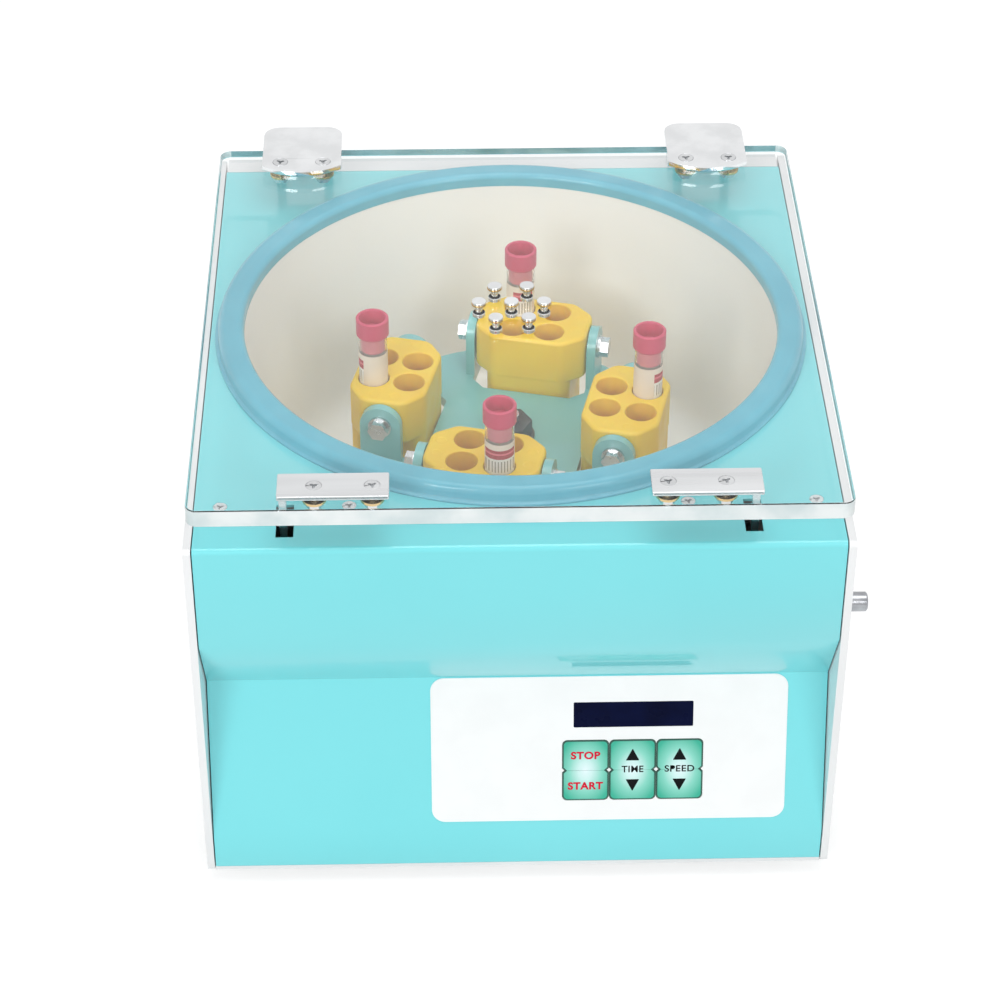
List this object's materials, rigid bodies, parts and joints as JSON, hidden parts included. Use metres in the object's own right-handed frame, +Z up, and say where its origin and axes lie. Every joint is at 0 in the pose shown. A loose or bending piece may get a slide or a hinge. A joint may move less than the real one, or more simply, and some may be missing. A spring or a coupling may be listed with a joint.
{
  "type": "bench centrifuge",
  "caption": "Bench centrifuge with a sheet metal case, clear hinged lid, swing-out rotor with tube buckets and a sloping membrane control panel.",
  "frame": {"origin": "middle of the whole object's footprint, on the surface that the feet stand on", "axes": "+X to the right seen from the front, +Y to the back, +Z up"},
  "size_m": [0.3502, 0.3808, 0.2646],
  "materials": {
    "cover_paint": "semi-gloss powder coat",
    "white_paint": "semi-gloss powder coat",
    "bowl_white": "smooth enamel",
    "seal_rubber": "smooth",
    "foot_rubber": "matt",
    "rotor_paint": "satin",
    "dark_steel": "satin",
    "bucket_plastic": "smooth moulded",
    "tube_glass": "clear",
    "cap_plastic": "moulded",
    "lid_acrylic": "polished, clear",
    "steel": "machined",
    "chrome": "polished",
    "brass": "plain",
    "label_film": "satin film",
    "key_film": "satin film",
    "display_lens": "polished",
    "circuit_board": "solder mask",
    "black_plastic": "moulded",
    "motor_metal": "cast",
    "zinc_steel": "zinc plated"
  },
  "bodies": {
    "root": {"top_cover": "cover_paint", "side_panel_left": "white_paint", "side_panel_right": "white_paint", "rear_panel": "white_paint", "base_tray": "white_paint", "feet": "foot_rubber", "foot_screws": "steel", "deck_screws": "steel", "case_screws": "steel", "bowl": "bowl_white", "seal_ring": "seal_rubber", "control_label": "label_film", "display_window": "display_lens", "display_module": "circuit_board", "control_board": "circuit_board", "motor_plate": "zinc_steel", "motor_dampers": "foot_rubber", "motor_body": "motor_metal", "motor_bearings": "steel", "motor_drive": "circuit_board", "hinge_brackets": "chrome", "hinge_pins": "steel", "hinge_bracket_screws": "steel", "lock_guides": "zinc_steel", "power_inlet": "black_plastic", "power_switch": "black_plastic"},
    "rotor": {"motor_shaft": "steel", "rotor_head": "rotor_paint", "hub_nut": "dark_steel", "trunnion_bolts": "steel"},
    "lid": {"lid": "lid_acrylic", "lid_studs": "chrome", "hinge_leaves": "chrome", "lid_screws": "steel", "lid_washers": "brass", "lid_nuts": "steel", "latch_hooks": "steel"},
    "lock_bar": {"lock_bar": "zinc_steel", "release_knob": "chrome"},
    "rocker": {"power_rocker": "black_plastic"},
    "bucket_back": {"bucket_back": "bucket_plastic", "tube_back": "tube_glass", "cap_back": "cap_plastic"},
    "bucket_right": {"bucket_right": "bucket_plastic", "tube_right": "tube_glass", "cap_right": "cap_plastic"},
    "bucket_front": {"bucket_front": "bucket_plastic", "tube_front": "tube_glass", "cap_front": "cap_plastic"},
    "bucket_left": {"bucket_left": "bucket_plastic", "tube_left": "tube_glass", "cap_left": "cap_plastic"},
    "key_stop": {"key_stop": "key_film"},
    "key_start": {"key_start": "key_film"},
    "key_time_up": {"key_time_up": "key_film"},
    "key_time_down": {"key_time_down": "key_film"},
    "key_speed_up": {"key_speed_up": "key_film"},
    "key_speed_down": {"key_speed_down": "key_film"}
  },
  "joints": [
    {"name": "lid_hinge", "type": "hinge", "parent": "root", "child": "lid", "pos_m": [-0.0055, 0.16895, 0.2566], "axis": [-1, 0, 0], "range_deg": [0, 95]},
    {"name": "rotor_spin", "type": "hinge", "parent": "root", "child": "rotor", "pos_m": [-0.0055, 0.00535, 0.1806], "axis": [0, 0, 1], "continuous": true},
    {"name": "bucket_back_swing", "type": "hinge", "parent": "rotor", "child": "bucket_back", "pos_m": [0.01013, 0.06947, 0.1806], "axis": [0.9715, -0.2368, 0], "range_deg": [0, 90]},
    {"name": "bucket_right_swing", "type": "hinge", "parent": "rotor", "child": "bucket_right", "pos_m": [0.05862, -0.01028, 0.1806], "axis": [-0.2368, -0.9715, 0], "range_deg": [0, 90]},
    {"name": "bucket_front_swing", "type": "hinge", "parent": "rotor", "child": "bucket_front", "pos_m": [-0.02113, -0.05877, 0.1806], "axis": [-0.9715, 0.2368, 0], "range_deg": [0, 90]},
    {"name": "bucket_left_swing", "type": "hinge", "parent": "rotor", "child": "bucket_left", "pos_m": [-0.06962, 0.02098, 0.1806], "axis": [0.2368, 0.9715, 0], "range_deg": [0, 90]},
    {"name": "lock_slide", "type": "slide", "parent": "root", "child": "lock_bar", "axis": [-1, 0, 0], "range_m": [0, 0.005]},
    {"name": "power_rocker_tilt", "type": "hinge", "parent": "root", "child": "rocker", "pos_m": [-0.0735, 0.18455, 0.07], "axis": [1, 0, 0], "range_deg": [0, 18]},
    {"name": "key_stop_press", "type": "slide", "parent": "root", "child": "key_stop", "axis": [0, 0.9619, -0.2735], "range_m": [0, 0.0004], "stiffness_N_per_m": 700},
    {"name": "key_start_press", "type": "slide", "parent": "root", "child": "key_start", "axis": [0, 0.9619, -0.2735], "range_m": [0, 0.0004], "stiffness_N_per_m": 700},
    {"name": "key_time_up_press", "type": "slide", "parent": "root", "child": "key_time_up", "axis": [0, 0.9619, -0.2735], "range_m": [0, 0.0004], "stiffness_N_per_m": 700},
    {"name": "key_time_down_press", "type": "slide", "parent": "root", "child": "key_time_down", "axis": [0, 0.9619, -0.2735], "range_m": [0, 0.0004], "stiffness_N_per_m": 700},
    {"name": "key_speed_up_press", "type": "slide", "parent": "root", "child": "key_speed_up", "axis": [0, 0.9619, -0.2735], "range_m": [0, 0.0004], "stiffness_N_per_m": 700},
    {"name": "key_speed_down_press", "type": "slide", "parent": "root", "child": "key_speed_down", "axis": [0, 0.9619, -0.2735], "range_m": [0, 0.0004], "stiffness_N_per_m": 700}
  ]
}
